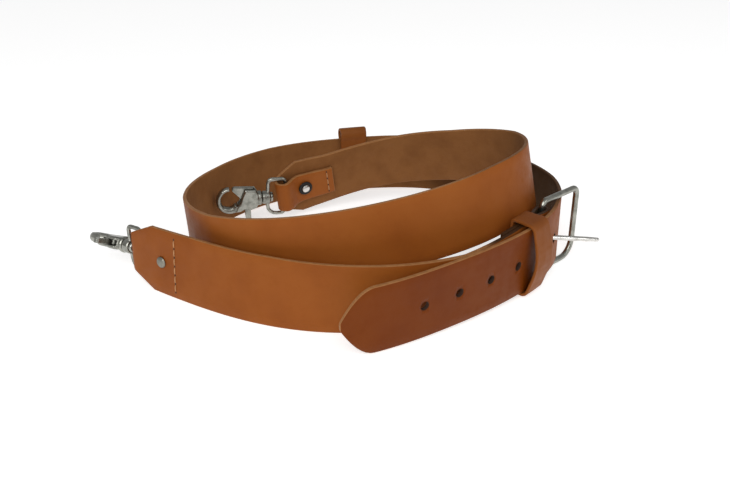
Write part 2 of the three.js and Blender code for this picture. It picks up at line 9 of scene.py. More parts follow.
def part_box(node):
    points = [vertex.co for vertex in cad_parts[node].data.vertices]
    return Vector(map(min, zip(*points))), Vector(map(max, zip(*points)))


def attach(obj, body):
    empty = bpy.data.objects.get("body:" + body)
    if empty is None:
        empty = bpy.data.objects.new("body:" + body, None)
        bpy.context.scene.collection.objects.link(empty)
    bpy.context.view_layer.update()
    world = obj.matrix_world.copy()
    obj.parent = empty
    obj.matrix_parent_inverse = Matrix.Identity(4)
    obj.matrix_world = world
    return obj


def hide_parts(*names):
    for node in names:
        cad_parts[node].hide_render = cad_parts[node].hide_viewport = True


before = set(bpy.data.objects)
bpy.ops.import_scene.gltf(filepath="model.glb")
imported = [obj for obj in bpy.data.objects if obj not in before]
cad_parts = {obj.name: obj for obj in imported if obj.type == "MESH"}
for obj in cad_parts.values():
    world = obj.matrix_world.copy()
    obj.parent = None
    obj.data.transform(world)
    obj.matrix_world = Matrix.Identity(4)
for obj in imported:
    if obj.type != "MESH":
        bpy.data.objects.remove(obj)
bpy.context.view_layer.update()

MM = 0.001

# ------------------------------------------------------------------ dimensions, in millimetres
WIDTH = 44.5
MID = WIDTH / 2
LEATHER = 2.7
GAP = 0.3
EDGE_ROUND = 0.6
# The share of a strip's thickness or half width that its rounded edges can take.
LARGEST_ROUND = 0.48

TIP = dict(length=20, blunt=2, fullness=1.9)
HOLES = dict(first=52, pitch=25.4, count=8, radius=2.9, prong=5, prong_radius=3.2)
SNAP_FOLD = dict(bore=3.5, half=11.6, shoulder=23, tab=51, settle=17)
HEEL_FOLD = dict(bore=2.4, half=20.3, taper=(2, 16), tab=52, settle=22, slot_reach=9, slot_half=3.4)
FRONT_TAB = dict(half=20, widens=24)
CORD_KEEPER = dict(along=440, screw=9)
RIVET_FROM_FOLD = 32
SCREW_FROM_FOLD = 26.5
BORES = dict(rivet=2.0, inner_screw=2.5, cord_screw=1.7)

SNAP_RADIUS = SNAP_FOLD["bore"] + LEATHER
HEEL_RADIUS = HEEL_FOLD["bore"] + LEATHER
TAB_DEPTH = 2 * LEATHER + GAP

# Each row: distance along the strap, turn to the left (degrees per 100 mm), climb (mm per 100 mm), inward
# lean of the top (degrees).
LONG_STRAP = dict(
    start=(-13.5, -162, 0), heading=14.5, length=1206,
    rows=[
        (0, 45, 4, -6),
        (70, 11, 3, -4),
        (140, 26, 1.5, -3),
        (190, 63, 0, 1),
        (240, 51, -2.5, -1),
        (300, 39, -2.5, 0),
        (370, 63, -1.5, -10),
        (450, 26, 0.5, -5),
        (510, 45, -0.5, -8),
        (570, 46, 2.5, -3),
        (630, 60, 9.5, -3),
        (700, 62, 13.5, -5),
        (770, 46, 15, 2),
        (835, 24, 12.5, 6),
        (895, 46, 11.5, 13),
        (940, 88, -3, 12),
        (985, 80, -12, 10),
        (1045, 42, -16, 18),
        (1110, 73, -16, 19),
        (1160, 2, -21, 16),
        (1205, 100, -17, 3),
    ],
)
SHORT_STRAP = dict(
    start=(-155.5, -64, 0), heading=-38.65, length=320.3,
    rows=[
        (0, 9, 0, 1),
        (55, 10, 0, 5),
        (115, 36, 0, 5),
        (175, 48, 0, -2),
        (235, 33, 6, -11),
        (285, 25, 3.5, -4),
        (315, 23, 0, 0),
    ],
)
# Each path runs on past its end by the first length, and its band is plain from the second length in.
PATH_RUNOUT = 41
PLAIN_FROM_END = 60

# Stitches, and the pricked holes between them, which lose the flattened share of their depth.
STITCH = dict(length=4.6, radius=0.5, pitch=6.2, bulge=0.25)
PRICK = dict(half_length=0.75, radius=0.55, bulge=0.02, flattened=0.8)
FRONT_ROW = 43.5
ROW_FROM_TAB_END = dict(heel=6, inner=5)
HEEL_ROW = SHORT_STRAP["length"] - HEEL_FOLD["tab"] + ROW_FROM_TAB_END["heel"]
INNER_ROW = LONG_STRAP["length"] - SNAP_FOLD["tab"] + ROW_FROM_TAB_END["inner"]

# How finely the leather is drawn: stations along it, and steps across its faces and round its edges.
STATION = 2.5
FOLD_STEPS = 26
TIP_STATIONS = (0, 1.2, 2.2, 3.4, 4.8, 6.4, 8.2, 10.2, 12.4, 14.8, 17.4)
END_STATIONS = (0, 0.12, 0.35, 0.7, 1.1)
FACE_STEPS = 8
EDGE_STEPS = 10

# Cutters start in front of the leather and reach through one ply, or through a fold and its tab.
OVERSHOOT = 2
ONE_PLY = LEATHER + OVERSHOOT
BOTH_PLIES = 3 * LEATHER
PUNCH_SIDES = 28

# The rings and sides of a stitch. The blunt share keeps its end rings from closing.
STITCH_RINGS = 7
STITCH_SIDES = 8
STITCH_BLUNT = 0.02

# ------------------------------------------------------------------ wear and painted shade, by the distance along a strap
# The billet is darkened by handling: in full up to the first distance, and not at all from the second.
HANDLED = (140, 190)
# Each row: where the painted shade on the long strap's flesh side and cut edges starts, is full, starts to
# fade and ends, and its strength.
PAINTED_SHADE_STRETCHES = [
    (150, 210, 330, 400, 0.85),
    (850, 900, 960, 1030, 0.4),
]
# Distances from the heel fold where the short strap's painted shade starts and is full.
PAINTED_SHADE_HEEL = (75, 60)
# What the mesh of a strap says at each point, from 0 to 1.
SIDES = ("flesh", "edge", "handled", "painted_shade")

# ------------------------------------------------------------------ colours
STRAP_TONES = dict(dark=(0.215, 0.054, 0.0065), grain=(0.258, 0.071, 0.0095), light=(0.282, 0.083, 0.0125))
KEEPER_TONES = dict(dark=(0.165, 0.044, 0.007), grain=(0.21, 0.062, 0.011), light=(0.24, 0.078, 0.016))
HANDLED_TINT = (0.54, 0.40, 0.08)
EDGE_TONES = ((0.33, 0.150, 0.055), (0.21, 0.085, 0.026))
FLESH_TONES = ((0.195, 0.075, 0.0210), (0.235, 0.100, 0.0310))
FLESH_BLOTCH = (0.140, 0.050, 0.0130)
# Painted shade: the flesh side and cut edges where the strap is drawn as if in shadow.
PAINTED_SHADE_FLESH = (0.024, 0.013, 0.0045)
PAINTED_SHADE_EDGE = (0.045, 0.018, 0.006)
# Each nickel: its plain tone, the tone of its dark clouds and its roughness.
NICKEL = dict(
    worn=((0.36, 0.36, 0.32), (0.10, 0.105, 0.09), 0.27),
    dull=((0.27, 0.26, 0.22), (0.14, 0.13, 0.11), 0.48),
    bright=((0.70, 0.69, 0.66), (0.38, 0.37, 0.34), 0.22),
)
THREAD_TONES = ((0.33, 0.145, 0.052), (0.54, 0.28, 0.12))
# Near black: painted shade for the insides of pricked and punched holes.
HOLE_SHADE_TONES = ((0.020, 0.008, 0.004), (0.060, 0.024, 0.010))
BLACKENED_TONES = ((0.012, 0.011, 0.010), (0.060, 0.055, 0.050))
FLOOR_TONES = ((0.79, 0.79, 0.79), (0.81, 0.81, 0.81))
WHITE = (1.0, 1.0, 1.0, 1)

# ------------------------------------------------------------------ stage: lengths in metres, power in watts
FLOOR_HALF = 6.0
SKY = dict(horizon=0.50, zenith=0.30)
# Each row: name, place, what it points at, width of its square, power.
LIGHTS = [
    ("key", (-0.2, -1.15, 0.85), (0, 0, 0.03), 0.9, 10),
    ("side", (1.0, -0.6, 0.8), (0, 0.05, 0.03), 0.7, 3),
]
# The camera looks at the paths' origin. Its distance is in millimetres.
CAMERA = dict(elevation=24.6, distance=612, lens=40.94, sensor=36)


def lerp(a, b, t):
    return a + (b - a) * t


def clamp(value):
    return min(max(value, 0), 1)


def smoothstep(value, low, high):
    t = clamp((value - low) / (high - low))
    return t * t * (3 - 2 * t)


def always(value):
    """A function that gives the same value all along a strap."""
    return lambda along: value


# ------------------------------------------------------------------ paths
class StrapPath:
    """The lower outer edge of a strap, sampled every millimetre, with the strap's directions there."""

    def __init__(self, start, heading, length, rows):
        self.length = length
        along, turns, climbs, leans = np.array(rows, float).T
        self.steps = np.arange(0.0, length + PATH_RUNOUT)
        slope = np.interp(self.steps, along, climbs) / 100
        lean = np.radians(np.interp(self.steps, along, leans))[:, None]
        turn = np.radians(np.interp(self.steps + 0.5, along, turns) / 100)
        bearing = math.radians(heading) + np.concatenate(([0], np.cumsum(turn)[:-1]))
        halfway = bearing + turn / 2
        flat = np.sqrt(1 - slope ** 2)
        moves = np.stack([np.cos(halfway) * flat, np.sin(halfway) * flat, slope], axis=1)
        self.points = np.array(start, float) + np.concatenate(([[0, 0, 0]], np.cumsum(moves, axis=0)[:-1]))
        self.ahead = np.stack([np.cos(bearing) * flat, np.sin(bearing) * flat, slope], axis=1)
        left = np.stack([-np.sin(bearing), np.cos(bearing), 0 * bearing], axis=1)
        upright = np.cross(self.ahead, left)
        self.up = upright * np.cos(lean) + left * np.sin(lean)
        self.inward = left * np.cos(lean) - upright * np.sin(lean)

    def blend(self, table, along):
        return np.array([np.interp(along, self.steps, table[:, axis]) for axis in range(3)])

    def inward_at(self, along):
        return self.blend(self.inward, along)

    def place(self, along, depth, height):
        """A point by its distance along the strap, depth behind the outer face and height."""
        inward, up = self.inward_at(along), self.blend(self.up, along)
        return self.blend(self.points, along) + inward * depth + up * height

    def outline(self):
        """The four long corners of the plain strap, clear of both ends."""
        plain = (self.steps > PLAIN_FROM_END) & (self.steps < self.length - PLAIN_FROM_END)
        base, inward, up = self.points[plain], self.inward[plain], self.up[plain]
        return np.concatenate([base + inward * d + up * h for d in (0, LEATHER) for h in (0, WIDTH)])


long_path = StrapPath(**LONG_STRAP)
short_path = StrapPath(**SHORT_STRAP)


def path_origin():
    """Where the paths' origin lies in the frame: the plain bands fit the boxes of their CAD solids."""
    low, high = (np.array(corner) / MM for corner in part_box("long_strap"))
    short_low = np.array(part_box("short_strap")[0]) / MM
    band = long_path.outline()
    return np.array([
        low[0] - band[:, 0].min(),
        high[1] - band[:, 1].max(),
        short_low[2] - short_path.outline()[:, 2].min(),
    ])


ORIGIN = path_origin()


def in_frame(point):
    return Vector((np.asarray(point) + ORIGIN) * MM)


# ------------------------------------------------------------------ objects
def new_object(name, vertices, faces, materials, smooth=True):
    mesh = bpy.data.meshes.new(name)
    mesh.from_pydata([tuple(v) for v in vertices], [], faces)
    mesh.validate()
    mesh.update()
    for material in materials:
        mesh.materials.append(material)
    if smooth:
        mesh.shade_smooth()
    piece = bpy.data.objects.new(name, mesh)
    bpy.context.scene.collection.objects.link(piece)
    return piece


def tube_faces(rings, sides):
    """The faces of a closed form through rings of points, ring after ring."""
    faces = []
    for k in range(rings - 1):
        for m in range(sides):
            a, b = k * sides + m, k * sides + (m + 1) % sides
            faces.append((a, b, b + sides, a + sides))
    faces.append(tuple(reversed(range(sides))))
    faces.append(tuple(range((rings - 1) * sides, rings * sides)))
    return faces


def outward(piece):
    """Turns the faces outwards if the mesh is inside out."""
    mesh = piece.data
    mesh.calc_loop_triangles()
    volume = 0.0
    for triangle in mesh.loop_triangles:
        a, b, c = (mesh.vertices[v].co for v in triangle.vertices)
        volume += a.dot(b.cross(c))
    if volume < 0:
        mesh.flip_normals()


def apply_modifiers(piece):
    graph = bpy.context.evaluated_depsgraph_get()
    mesh = bpy.data.meshes.new_from_object(piece.evaluated_get(graph), depsgraph=graph)
    old = piece.data
    piece.modifiers.clear()
    piece.data = mesh
    bpy.data.meshes.remove(old)


def ride(piece, body, slot, *nodes):
    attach(piece, body)
    if nodes:
        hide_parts(*nodes)


# ------------------------------------------------------------------ node materials
class Nodes:
    """A small helper to write a node material as a list of nodes and links."""

    MIX_FACTOR, MIX_FIRST, MIX_SECOND = 0, 6, 7
    MIX_COLOR = 2

    def __init__(self, name):
        self.material = bpy.data.materials.new(name)
        self.material.use_nodes = True
        self.tree = self.material.node_tree
        self.shader = self.tree.nodes["Principled BSDF"]
        self.position = self.add("ShaderNodeTexCoord").outputs["Object"]

    def add(self, kind, inputs=None, **settings):
        node = self.tree.nodes.new(kind)
        for key, value in settings.items():
            setattr(node, key, value)
        for key, value in (inputs or {}).items():
            self.put(value, node.inputs[key])
        return node

    def put(self, value, socket):
        """Links a socket to the input, or sets its constant. A colour of three numbers is opaque."""
        if isinstance(value, bpy.types.NodeSocket):
            self.tree.links.new(value, socket)
        elif socket.type == "RGBA":
            socket.default_value = (*value, 1)
        else:
            socket.default_value = value

    def scaled(self, stretch=(1, 1, 1)):
        """The position in millimetres, stretched along the axes."""
        scale = tuple(s / MM for s in stretch)
        return self.add("ShaderNodeMapping", {"Vector": self.position, "Scale": scale}).outputs["Vector"]

    def noise(self, size, detail=4, roughness=0.55, vector=None):
        where = vector or self.scaled()
        inputs = {"Vector": where, "Scale": 1 / size, "Detail": detail, "Roughness": roughness}
        return self.add("ShaderNodeTexNoise", inputs).outputs["Fac"]

    def cells(self, size):
        inputs = {"Vector": self.scaled(), "Scale": 1 / size}
        return self.add("ShaderNodeTexVoronoi", inputs).outputs["Distance"]

    def wave(self, scale, distortion, detail):
        inputs = {"Vector": self.scaled(), "Scale": scale, "Distortion": distortion, "Detail": detail}
        return self.add("ShaderNodeTexWave", inputs, bands_direction="DIAGONAL").outputs["Fac"]

    def ramp(self, value, stops):
        node = self.add("ShaderNodeValToRGB", {"Fac": value})
        ramp = node.color_ramp
        for k, (place, color) in enumerate(stops):
            stop = ramp.elements[k] if k < 2 else ramp.elements.new(place)
            stop.position = place
            stop.color = (*color, 1)
        return node.outputs["Color"]

    def ranged(self, value, source, target):
        """The value, moved from the source range to the target range and held inside it."""
        inputs = {
            "Value": value,
            "From Min": source[0],
            "From Max": source[1],
            "To Min": target[0],
            "To Max": target[1],
        }
        return self.add("ShaderNodeMapRange", inputs).outputs["Result"]

    def mix(self, factor, first, second, blend="MIX"):
        node = self.add("ShaderNodeMix", data_type="RGBA", blend_type=blend)
        self.put(factor, node.inputs[self.MIX_FACTOR])
        self.put(first, node.inputs[self.MIX_FIRST])
        self.put(second, node.inputs[self.MIX_SECOND])
        return node.outputs[self.MIX_COLOR]

    def math(self, operation, first, second):
        node = self.add("ShaderNodeMath", operation=operation)
        self.put(first, node.inputs[0])
        self.put(second, node.inputs[1])
        return node.outputs[0]

    def attribute(self, name):
        return self.add("ShaderNodeAttribute", attribute_name=name).outputs["Fac"]

    def bump(self, height, depth, strength, normal=None):
        """The normal over a height from 0 to 1, which is this deep in millimetres."""
        inputs = {"Height": height, "Distance": depth * MM, "Strength": strength}
        if normal is not None:
            inputs["Normal"] = normal
        return self.add("ShaderNodeBump", inputs).outputs["Normal"]

    def finish(self, color, roughness, normal=None, **constants):
        self.put(color, self.shader.inputs["Base Color"])
        self.put(roughness, self.shader.inputs["Roughness"])
        if normal is not None:
            self.put(normal, self.shader.inputs["Normal"])
        for key, value in constants.items():
            self.shader.inputs[key.replace("_", " ")].default_value = value
        return self.material


def leather_material(name, tones, with_sides):
    """Smooth oiled leather. With sides, the mesh says where its flesh side, cut edges, handling wear and
    painted shade are.
    """
    n = Nodes(name)
    clouds = n.noise(size=38, detail=3)
    mottle = n.noise(size=7, detail=5, roughness=0.62)
    fibres = n.noise(size=0.9, detail=6, roughness=0.7)
    pores = n.cells(size=0.75)
    stops = [(0.0, tones["dark"]), (0.5, tones["grain"]), (1.0, tones["light"])]
    color = n.ramp(n.ranged(clouds, (0.2, 0.8), (0, 1)), stops)
    color = n.mix(n.ranged(mottle, (0.5, 0.8), (0, 0.3)), color, tones["dark"])
    color = n.mix(n.ranged(fibres, (0.55, 0.8), (0, 0.25)), color, tones["light"])
    roughness = n.ranged(mottle, (0.3, 0.7), (0.42, 0.60))
    grain_height = n.math("ADD", n.math("MULTIPLY", pores, 0.6), n.math("MULTIPLY", fibres, 0.8))
    normal = n.bump(grain_height, depth=0.10, strength=0.55)
    normal = n.bump(mottle, depth=0.5, strength=0.25, normal=normal)
    if with_sides:
        darker = n.mix(1.0, color, HANDLED_TINT, "MULTIPLY")
        color = n.mix(n.attribute("handled"), color, darker)

        nap = n.noise(size=0.55, detail=8, roughness=0.8)
        blotches = n.noise(size=16, detail=4, roughness=0.6)
        flesh = n.mix(n.ranged(nap, (0.35, 0.7), (0, 1)), *FLESH_TONES)
        flesh = n.mix(n.ranged(blotches, (0.42, 0.72), (0, 0.55)), flesh, FLESH_BLOTCH)
        # Painted shade darkens the flesh side here, and the cut edges below.
        flesh = n.mix(n.attribute("painted_shade"), flesh, PAINTED_SHADE_FLESH)
        on_flesh = n.ranged(n.attribute("flesh"), (0.8, 0.97), (0, 1))
        color = n.mix(on_flesh, color, flesh)

        ply = n.noise(size=1.4, detail=4, vector=n.scaled((0.4, 0.4, 3.0)))
        cut_edge = n.mix(n.ranged(ply, (0.4, 0.7), (0, 0.6)), *EDGE_TONES)
        cut_edge = n.mix(n.attribute("painted_shade"), cut_edge, PAINTED_SHADE_EDGE)
        on_edge = n.ranged(n.attribute("edge"), (0.35, 0.8), (0, 1))
        color = n.mix(on_edge, color, cut_edge)

        roughness = n.math("ADD", roughness, n.ranged(on_flesh, (0, 1), (0, 0.28)))
        normal = n.bump(n.math("MULTIPLY", nap, on_flesh), depth=0.25, strength=0.5, normal=normal)
    return n.finish(color, roughness, normal, Specular_IOR_Level=0.12)


def nickel_material(name, base, dark, roughness):
    """Worn plating: dark clouds, fine speckle and faint streaks."""
    n = Nodes(name)
    cloud = n.noise(size=4.5, detail=4, roughness=0.6)
    speckle = n.noise(size=0.6, detail=5, roughness=0.7)
    streaks = n.noise(size=0.5, detail=3, vector=n.scaled((1.0, 0.12, 1.0)))
    color = n.mix(n.ranged(cloud, (0.42, 0.75), (0, 0.7)), base, dark)
    polished, scuffed = roughness - 0.06, roughness + 0.10
    speckled = n.ranged(speckle, (0.3, 0.7), (polished, scuffed))
    rough = n.math("ADD", speckled, n.ranged(cloud, (0.4, 0.7), (0, 0.08)))
    height = n.math("ADD", n.math("MULTIPLY", speckle, 0.5), n.math("MULTIPLY", streaks, 0.5))
    return n.finish(color, rough, n.bump(height, depth=0.05, strength=0.45), Metallic=1.0)


def thread_material():
    n = Nodes("thread")
    twist = n.wave(scale=1.6, distortion=1.0, detail=2.0)
    color = n.mix(twist, *THREAD_TONES)
    roughness = n.ranged(twist, (0, 1), (0.6, 0.8))
    return n.finish(color, roughness, n.bump(twist, depth=0.12, strength=0.6))


# Painted shade inside holes: the flat pricked spots and the walls of punched holes are drawn near black.
def hole_shade_material():
    n = Nodes("pricked_hole_painted_shade")
    nap = n.noise(size=0.4, detail=4)
    color = n.mix(nap, *HOLE_SHADE_TONES)
    roughness = n.ranged(nap, (0, 1), (0.75, 0.95))
    return n.finish(color, roughness, n.bump(nap, depth=0.1, strength=0.5))


def blackened_material():
    n = Nodes("blackened_steel")
    wear = n.noise(size=1.2, detail=5, roughness=0.65)
    color = n.mix(n.ranged(wear, (0.55, 0.8), (0, 1)), *BLACKENED_TONES)
    roughness = n.ranged(wear, (0.3, 0.7), (0.35, 0.55))
    return n.finish(color, roughness, n.bump(wear, depth=0.05, strength=0.4), Metallic=0.6)


leather = leather_material("strap_leather", STRAP_TONES, with_sides=True)
keeper_leather = leather_material("keeper_leather", KEEPER_TONES, with_sides=False)
shaded_hole_leather = hole_shade_material()
thread = thread_material()
nickel = nickel_material("worn_nickel", *NICKEL["worn"])
dull_nickel = nickel_material("dull_nickel", *NICKEL["dull"])
bright_nickel = nickel_material("bright_nickel", *NICKEL["bright"])
blackened = blackened_material()


# ------------------------------------------------------------------ stations along the leather
# A station is (distance along the path, depth of the grain side, half width).
def stretch(start, stop, depth_at, half_at):
    """Stations along one ply."""
    count = max(2, round(abs(stop - start) / STATION))
    return [(a, depth_at(a), half_at(a)) for a in (lerp(start, stop, k / count) for k in range(count + 1))]


def fold_stations(bar, radius, direction, half_at):
    """Stations round half a turn about a bar, from the outer ply to the tab behind it."""
    stations = []
    for k in range(1, FOLD_STEPS):
        angle = math.pi * k / FOLD_STEPS
        along = bar + direction * radius * math.sin(angle)
        reached = along if angle < math.pi / 2 else bar + direction * radius
        stations.append((along, radius * (1 - math.cos(angle)), half_at(reached)))
    return stations


def tab_depth(bar, radius, settle):
    """The depth of a folded tab: it settles against the outer ply with the distance from its bar."""
    return lambda along: lerp(2 * radius, TAB_DEPTH, smoothstep(abs(along - bar), 0, settle))


def close_ends(stations):
    """Adds close stations at both ends, where the ends are rounded."""
    def close(first, second):
        (a0, d0, h0), (a1, d1, h1) = first, second
        span = math.hypot(a1 - a0, d1 - d0)
        steps = [s / span for s in END_STATIONS if s < span]
        return [(lerp(a0, a1, s), lerp(d0, d1, s), lerp(h0, h1, s)) for s in steps]

    head = close(stations[0], stations[1])
    tail = close(stations[-1], stations[-2])
    return head + stations[1:-1] + tail[::-1]


def chamfer_half(from_fold):
    return lerp(SNAP_FOLD["half"], MID, clamp(from_fold / SNAP_FOLD["shoulder"]))


def tip_half(along):
    rest = max(0.0, 1 - along / TIP["length"])
    return lerp(TIP["blunt"], MID, 1 - rest ** TIP["fullness"])


# ------------------------------------------------------------------ leather strips
def section_points():
    """A strap's section, anticlockwise: (grain to flesh 0..1, across -1..1, whether it is on an edge)."""
    across = [lerp(-1, 1, k / FACE_STEPS) for k in range(FACE_STEPS + 1)]
    levels = [k / EDGE_STEPS for k in range(1, EDGE_STEPS)]
    return (
        [(0.0, a, False) for a in across]
        + [(level, 1.0, True) for level in levels]
        + [(1.0, a, False) for a in reversed(across)]
        + [(level, -1.0, True) for level in reversed(levels)]
    )


def rounded_section(half, thickness):
    """The section's points as (depth, height, 1 on an edge), with rounded long corners."""
    radius = min(EDGE_ROUND, LARGEST_ROUND * thickness, LARGEST_ROUND * half)
    result = []
    for level, across, on_edge in section_points():
        depth = level * thickness
        reach = half - radius
        if on_edge:
            inset = max(0.0, radius - min(depth, thickness - depth))
            reach += math.sqrt(max(0.0, radius ** 2 - inset ** 2))
        result.append((depth, across * reach, float(on_edge)))
    return result


def strap_mesh(name, path, stations, handled, painted_shade):
    """A leather strip through its stations, with rounded ends. Its attributes say where its sides, handling
    wear and painted shade are.
    """
    spots = np.array([(along, depth) for along, depth, _ in stations])
    tangent = np.gradient(spots, axis=0)
    tangent /= np.linalg.norm(tangent, axis=1)[:, None]
    travelled = np.concatenate(([0], np.cumsum(np.linalg.norm(np.diff(spots, axis=0), axis=1))))
    vertices = []
    sides = {label: [] for label in SIDES}
    for k, (along, depth, half) in enumerate(stations):
        from_end = min(travelled[k], travelled[-1] - travelled[k])
        inset = EDGE_ROUND - math.sqrt(max(0.0, EDGE_ROUND ** 2 - max(0.0, EDGE_ROUND - from_end) ** 2))
        normal = (-tangent[k][1], tangent[k][0])
        for behind, height, is_edge in rounded_section(half - inset, LEATHER - 2 * inset):
            reach = behind + inset
            point = path.place(along + reach * normal[0], depth + reach * normal[1], MID + height)
            vertices.append(in_frame(point))
            sides["flesh"].append(reach / LEATHER)
            sides["edge"].append(1.0 if from_end < EDGE_ROUND else is_edge)
            sides["handled"].append(handled(along))
            sides["painted_shade"].append(painted_shade(along))
    faces = tube_faces(len(stations), len(section_points()))
    piece = new_object(name, vertices, faces, [leather, shaded_hole_leather])
    for label, values in sides.items():
        layer = piece.data.attributes.new(label, "FLOAT", "POINT")
        layer.data.foreach_set("value", values)
    outward(piece)
    return piece


def cutter(name, vertices, sides):
    """A closed form between two rings of points, to cut with."""
    piece = new_object(name, vertices, tube_faces(2, sides), [shaded_hole_leather], smooth=False)
    outward(piece)
    return piece


def punch(path, along, height, radius, deepest):
    """A round cutter through the strap's outer face, to a depth."""
    start = in_frame(path.place(along, -OVERSHOOT, height))
    stop = in_frame(path.place(along, deepest, height))
    axis = (stop - start).normalized()
    side = axis.orthogonal().normalized()
    other = axis.cross(side)
    vertices = []
    for end in (start, stop):
        for k in range(PUNCH_SIDES):
            angle = 2 * math.pi * k / PUNCH_SIDES
            vertices.append(end + radius * MM * (math.cos(angle) * side + math.sin(angle) * other))
    return cutter("punch", vertices, PUNCH_SIDES)


def prong_slot(heel):
    """A square cutter through the heel fold, for the buckle's prong."""
    low, high = MID - HEEL_FOLD["slot_half"], MID + HEEL_FOLD["slot_half"]
    outside, inside = -OVERSHOOT, 2 * HEEL_RADIUS + OVERSHOOT
    corners = [
        in_frame(short_path.place(along, depth, height))
        for along in (heel - HEEL_FOLD["slot_reach"], heel + HEEL_RADIUS + OVERSHOOT)
        for depth, height in ((outside, low), (inside, low), (inside, high), (outside, high))
    ]
    return cutter("slot", corners, 4)


def cut(piece, cutters):
    before = piece.data.copy()
    for tool in cutters:
        modifier = piece.modifiers.new("cut", "BOOLEAN")
        modifier.operation = "DIFFERENCE"
        modifier.solver = "EXACT"
        # The cut walls take the cutter's painted hole shade.
        modifier.material_mode = "TRANSFER"
        modifier.object = tool
    apply_modifiers(piece)
    for tool in cutters:
        bpy.data.objects.remove(tool)
    restore_sides(piece.data, before)
    bpy.data.meshes.remove(before)


def restore_sides(mesh, before):
    """Gives the new points round a cut the side values of the face that they lie on."""
    def spot(vertex):
        """The place to a thousandth of a millimetre."""
        return tuple(round(c, 6) for c in vertex.co)

    known = {spot(vertex) for vertex in before.vertices}
    fresh = [vertex for vertex in mesh.vertices if spot(vertex) not in known]
    skin = BVHTree.FromPolygons([v.co for v in before.vertices], [p.vertices for p in before.polygons])
    for vertex in fresh:
        face = skin.find_nearest(vertex.co)[2]
        corners = before.polygons[face].vertices
        for label in SIDES:
            values = [before.attributes[label].data[corner].value for corner in corners]
            mesh.attributes[label].data[vertex.index].value = sum(values) / len(values)


def long_strap():
    """From the billet's tip to the inner snap's tab."""
    end = long_path.length
    bar = end - SNAP_RADIUS
    shoulder = end - SNAP_FOLD["shoulder"]

    def end_half(along):
        return chamfer_half(end - along)

    def handled(along):
        return 1 - smoothstep(along, *HANDLED)

    # Painted shade on the flesh side and cut edges, over the stretches listed above.
    def painted_shade(along):
        return sum(
            strength * (smoothstep(along, start, full) - smoothstep(along, fade, stop))
            for start, full, fade, stop, strength in PAINTED_SHADE_STRETCHES
        )

    tab = tab_depth(bar, SNAP_RADIUS, SNAP_FOLD["settle"])
    stations = (
        [(along, 0.0, tip_half(along)) for along in TIP_STATIONS]
        + stretch(TIP["length"], shoulder, always(0.0), always(MID))
        + stretch(shoulder, bar, always(0.0), end_half)[1:]
        + fold_stations(bar, SNAP_RADIUS, 1, end_half)
        + stretch(bar, end - SNAP_FOLD["tab"], tab, always(SNAP_FOLD["half"]))
    )
    piece = strap_mesh("long_strap_leather", long_path, close_ends(stations), handled, painted_shade)
    cutters = []
    for k in range(HOLES["count"]):
        radius = HOLES["prong_radius"] if k == HOLES["prong"] else HOLES["radius"]
        cutters.append(punch(long_path, HOLES["first"] + k * HOLES["pitch"], MID, radius, ONE_PLY))
    cutters.append(punch(long_path, end - SCREW_FROM_FOLD, MID, BORES["inner_screw"], BOTH_PLIES))
    screw_height = WIDTH - CORD_KEEPER["screw"]
    cutters.append(punch(long_path, CORD_KEEPER["along"], screw_height, BORES["cord_screw"], ONE_PLY))
    cut(piece, cutters)
    return piece


def short_strap():
    """From the front snap's tab to the tab behind the buckle's heel bar."""
    heel = short_path.length
    bar = SNAP_RADIUS

    def heel_half(along):
        return lerp(HEEL_FOLD["half"], MID, smoothstep(heel - along, *HEEL_FOLD["taper"]))

    def front_tab_half(along):
        return lerp(SNAP_FOLD["half"], FRONT_TAB["half"], clamp((along - bar) / FRONT_TAB["widens"]))

    # Painted shade on the flesh side and cut edges near the heel fold.
    def painted_shade(along):
        start, full = PAINTED_SHADE_HEEL
        return smoothstep(along, heel - start, heel - full)

    front_tab = tab_depth(bar, SNAP_RADIUS, SNAP_FOLD["settle"])
    heel_tab = tab_depth(heel, HEEL_RADIUS, HEEL_FOLD["settle"])
    stations = (
        stretch(SNAP_FOLD["tab"], bar, front_tab, front_tab_half)
        + fold_stations(bar, SNAP_RADIUS, -1, chamfer_half)[::-1]
        + stretch(bar, SNAP_FOLD["shoulder"], always(0.0), chamfer_half)
        + stretch(SNAP_FOLD["shoulder"], heel, always(0.0), heel_half)[1:]
        + fold_stations(heel, HEEL_RADIUS, 1, always(HEEL_FOLD["half"]))
        + stretch(heel, heel - HEEL_FOLD["tab"], heel_tab, heel_half)
    )
    piece = strap_mesh("short_strap_leather", short_path, close_ends(stations), always(0.0), painted_shade)
    rivet_hole = punch(short_path, RIVET_FROM_FOLD, MID, BORES["rivet"], BOTH_PLIES)
    cut(piece, [rivet_hole, prong_slot(heel)])
    return piece


# ------------------------------------------------------------------ stitches
def lozenge(start, stop, radius, bulge):
    """A stitch as points and faces: a rod with round ends whose middle rises along the bulge."""
    axis = (stop - start).normalized()
    side = axis.cross(bulge).normalized()
    out = side.cross(axis)
    points = []
    for k in range(STITCH_RINGS):
        angle = math.pi * k / (STITCH_RINGS - 1)
        spread = radius * math.sqrt(max(math.sin(angle), STITCH_BLUNT))
        centre = start.lerp(stop, 0.5 - 0.5 * math.cos(angle)) + bulge * math.sin(angle)
        for m in range(STITCH_SIDES):
            turn = 2 * math.pi * m / STITCH_SIDES
            points.append(centre + spread * (math.cos(turn) * side + math.sin(turn) * out))
    return points, tube_faces(STITCH_RINGS, STITCH_SIDES)


def gathered(name, parts, material):
    """One object from several lots of points and faces."""
    vertices, faces = [], []
    for points, quads in parts:
        base = len(vertices)
        vertices += points
        faces += [tuple(base + v for v in quad) for quad in quads]
    return new_object(name, vertices, faces, [material])


